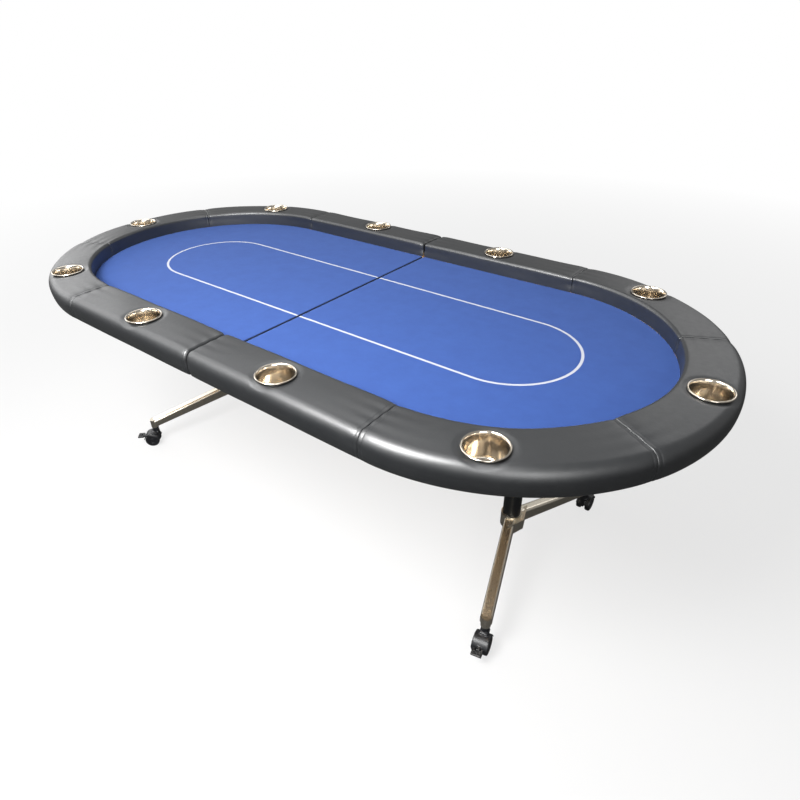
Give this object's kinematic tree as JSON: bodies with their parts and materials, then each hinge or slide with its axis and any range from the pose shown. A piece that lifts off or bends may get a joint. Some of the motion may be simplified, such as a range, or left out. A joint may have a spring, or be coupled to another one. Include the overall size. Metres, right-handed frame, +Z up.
{
  "type": "folding poker table",
  "caption": "Oval padded-rail card table in two hinged halves that fold up over two column pedestals on swivel casters, with drink cups let into the rail.",
  "frame": {"origin": "on the floor under the middle of the table", "axes": "+X along the table, +Y across it, +Z up"},
  "size_m": [2.117, 1.067, 0.7172],
  "materials": {
    "ply": "birch plywood, edges bare",
    "felt": "blue speed cloth over foam",
    "padding": "foam sewn into black faux leather panels",
    "stainless": "drawn stainless, polished flange",
    "cast_foot": "polished cast aluminium",
    "column": "black powder coat",
    "frame_steel": "black painted welded steel",
    "pin_steel": "turned steel",
    "nylon": "black moulded nylon"
  },
  "bodies": {
    "right_pedestal": {"right_column": "column", "right_head": "frame_steel", "right_head_pins": "pin_steel", "right_foot": "cast_foot", "right_caster_stems": "pin_steel"},
    "left_pedestal": {"left_column": "column", "left_head": "frame_steel", "left_head_pins": "pin_steel", "left_foot": "cast_foot", "left_caster_stems": "pin_steel"},
    "right_top": {"right_deck": "ply", "right_felt": "felt", "right_rail_core": "ply", "right_subframe": "frame_steel", "right_rail_pad_side_front": "padding", "right_rail_pad_side_rear": "padding", "right_rail_pad_end_front": "padding", "right_rail_pad_end_middle": "padding", "right_rail_pad_end_rear": "padding", "right_cup_side_front": "stainless", "right_cup_side_rear": "stainless", "right_cup_end_front": "stainless", "right_cup_end_middle": "stainless", "right_cup_end_rear": "stainless"},
    "left_top": {"left_deck": "ply", "left_felt": "felt", "left_rail_core": "ply", "left_subframe": "frame_steel", "left_rail_pad_side_front": "padding", "left_rail_pad_side_rear": "padding", "left_rail_pad_end_front": "padding", "left_rail_pad_end_middle": "padding", "left_rail_pad_end_rear": "padding", "left_cup_side_front": "stainless", "left_cup_side_rear": "stainless", "left_cup_end_front": "stainless", "left_cup_end_middle": "stainless", "left_cup_end_rear": "stainless"},
    "middle_bracket": {"middle_bracket": "frame_steel", "middle_hinge_pins": "pin_steel"},
    "right_stays": {"right_stays": "frame_steel"},
    "left_stays": {"left_stays": "frame_steel"},
    "front_right_caster": {"front_right_hood": "nylon"},
    "front_right_wheel_set": {"front_right_wheels": "nylon", "front_right_axle": "pin_steel"},
    "front_right_brake": {"front_right_pedal": "nylon"},
    "rear_right_caster": {"rear_right_hood": "nylon"},
    "rear_right_wheel_set": {"rear_right_wheels": "nylon", "rear_right_axle": "pin_steel"},
    "rear_right_brake": {"rear_right_pedal": "nylon"},
    "front_left_caster": {"front_left_hood": "nylon"},
    "front_left_wheel_set": {"front_left_wheels": "nylon", "front_left_axle": "pin_steel"},
    "front_left_brake": {"front_left_pedal": "nylon"},
    "rear_left_caster": {"rear_left_hood": "nylon"},
    "rear_left_wheel_set": {"rear_left_wheels": "nylon", "rear_left_axle": "pin_steel"},
    "rear_left_brake": {"rear_left_pedal": "nylon"}
  },
  "joints": [
    {"name": "right_fold", "type": "hinge", "parent": "right_pedestal", "child": "right_top", "pos_m": [0.608, 0, 0.61], "axis": [0, 1, 0], "range_deg": [0, 78]},
    {"name": "bracket_fold", "type": "hinge", "parent": "right_top", "child": "middle_bracket", "pos_m": [0.02, 0, 0.63], "axis": [0, 1, 0], "range_deg": [-78, 0]},
    {"name": "left_top_fold", "type": "hinge", "parent": "middle_bracket", "child": "left_top", "pos_m": [-0.02, 0, 0.63], "axis": [0, 1, 0], "range_deg": [-78, 0]},
    {"name": "left_pedestal_fold", "type": "hinge", "parent": "left_top", "child": "left_pedestal", "pos_m": [-0.608, 0, 0.61], "axis": [0, 1, 0], "range_deg": [0, 78]},
    {"name": "right_stay_fold", "type": "hinge", "parent": "right_pedestal", "child": "right_stays", "pos_m": [0.608, 0, 0.55], "axis": [0, 1, 0], "range_deg": [0, 78]},
    {"name": "left_stay_fold", "type": "hinge", "parent": "middle_bracket", "child": "left_stays", "pos_m": [-0.02, 0, 0.57], "axis": [0, 1, 0], "range_deg": [-78, 0]},
    {"name": "front_right_swivel", "type": "hinge", "parent": "right_pedestal", "child": "front_right_caster", "pos_m": [0.712, -0.306, 0.06], "axis": [0, 0, 1], "continuous": true},
    {"name": "front_right_roll", "type": "hinge", "parent": "front_right_caster", "child": "front_right_wheel_set", "pos_m": [0.71574, -0.32361, 0.025], "axis": [0.9781, 0.2079, 0], "continuous": true},
    {"name": "front_right_brake_press", "type": "hinge", "parent": "front_right_caster", "child": "front_right_brake", "pos_m": [0.7224, -0.35491, 0.039], "axis": [0.9781, 0.2079, 0], "range_deg": [0, 12]},
    {"name": "rear_right_swivel", "type": "hinge", "parent": "right_pedestal", "child": "rear_right_caster", "pos_m": [0.712, 0.306, 0.06], "axis": [0, 0, 1], "continuous": true},
    {"name": "rear_right_roll", "type": "hinge", "parent": "rear_right_caster", "child": "rear_right_wheel_set", "pos_m": [0.712, 0.324, 0.025], "axis": [-1, 0, 0], "continuous": true},
    {"name": "rear_right_brake_press", "type": "hinge", "parent": "rear_right_caster", "child": "rear_right_brake", "pos_m": [0.712, 0.356, 0.039], "axis": [-1, 0, 0], "range_deg": [0, 12]},
    {"name": "front_left_swivel", "type": "hinge", "parent": "left_pedestal", "child": "front_left_caster", "pos_m": [-0.712, -0.306, 0.06], "axis": [0, 0, 1], "continuous": true},
    {"name": "front_left_roll", "type": "hinge", "parent": "front_left_caster", "child": "front_left_wheel_set", "pos_m": [-0.72473, -0.31873, 0.025], "axis": [0.7071, -0.7071, 0], "continuous": true},
    {"name": "front_left_brake_press", "type": "hinge", "parent": "front_left_caster", "child": "front_left_brake", "pos_m": [-0.74735, -0.34136, 0.039], "axis": [0.7071, -0.7071, 0], "range_deg": [0, 12]},
    {"name": "rear_left_swivel", "type": "hinge", "parent": "left_pedestal", "child": "rear_left_caster", "pos_m": [-0.712, 0.306, 0.06], "axis": [0, 0, 1], "continuous": true},
    {"name": "rear_left_roll", "type": "hinge", "parent": "rear_left_caster", "child": "rear_left_wheel_set", "pos_m": [-0.72045, 0.32189, 0.025], "axis": [-0.8829, -0.4695, 0], "continuous": true},
    {"name": "rear_left_brake_press", "type": "hinge", "parent": "rear_left_caster", "child": "rear_left_brake", "pos_m": [-0.73547, 0.35015, 0.039], "axis": [-0.8829, -0.4695, 0], "range_deg": [0, 12]}
  ],
  "couplings": [
    {"joint": "bracket_fold", "follows": "right_fold", "ratio": -1},
    {"joint": "left_top_fold", "follows": "right_fold", "ratio": -1},
    {"joint": "left_pedestal_fold", "follows": "right_fold", "ratio": 1},
    {"joint": "right_stay_fold", "follows": "right_fold", "ratio": 1},
    {"joint": "left_stay_fold", "follows": "right_fold", "ratio": -1}
  ]
}
